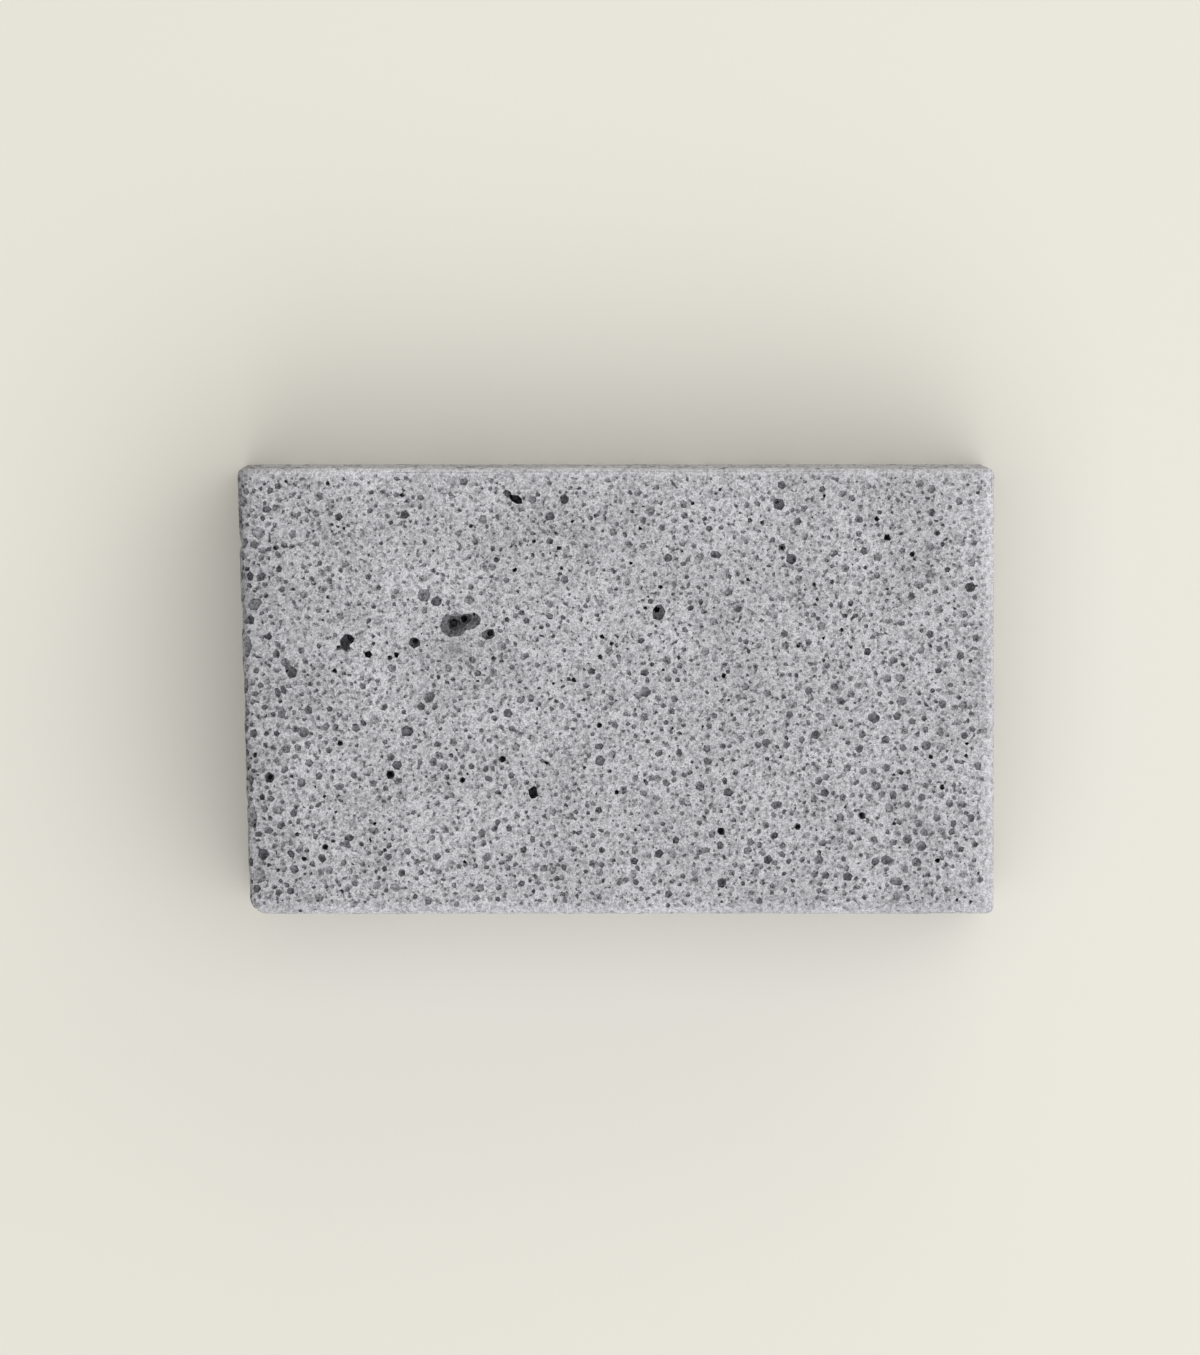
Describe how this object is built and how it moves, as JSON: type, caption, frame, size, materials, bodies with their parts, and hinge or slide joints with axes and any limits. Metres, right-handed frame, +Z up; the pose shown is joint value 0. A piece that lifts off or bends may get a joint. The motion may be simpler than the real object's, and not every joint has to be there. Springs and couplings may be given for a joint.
{
  "type": "pumice stone",
  "caption": "Rectangular block of pale grey foamed pumice with worn edges and open pores, held in the hand to smooth hard skin.",
  "frame": {"origin": "middle of the flat underside", "axes": "+Z up through the thickness, +X along the length, the most worn corner towards -X and -Y"},
  "size_m": [0.1, 0.059, 0.029],
  "materials": {
    "pumice": "matte"
  },
  "bodies": {
    "root": {"pumice_stone": "pumice"}
  },
  "joints": []
}
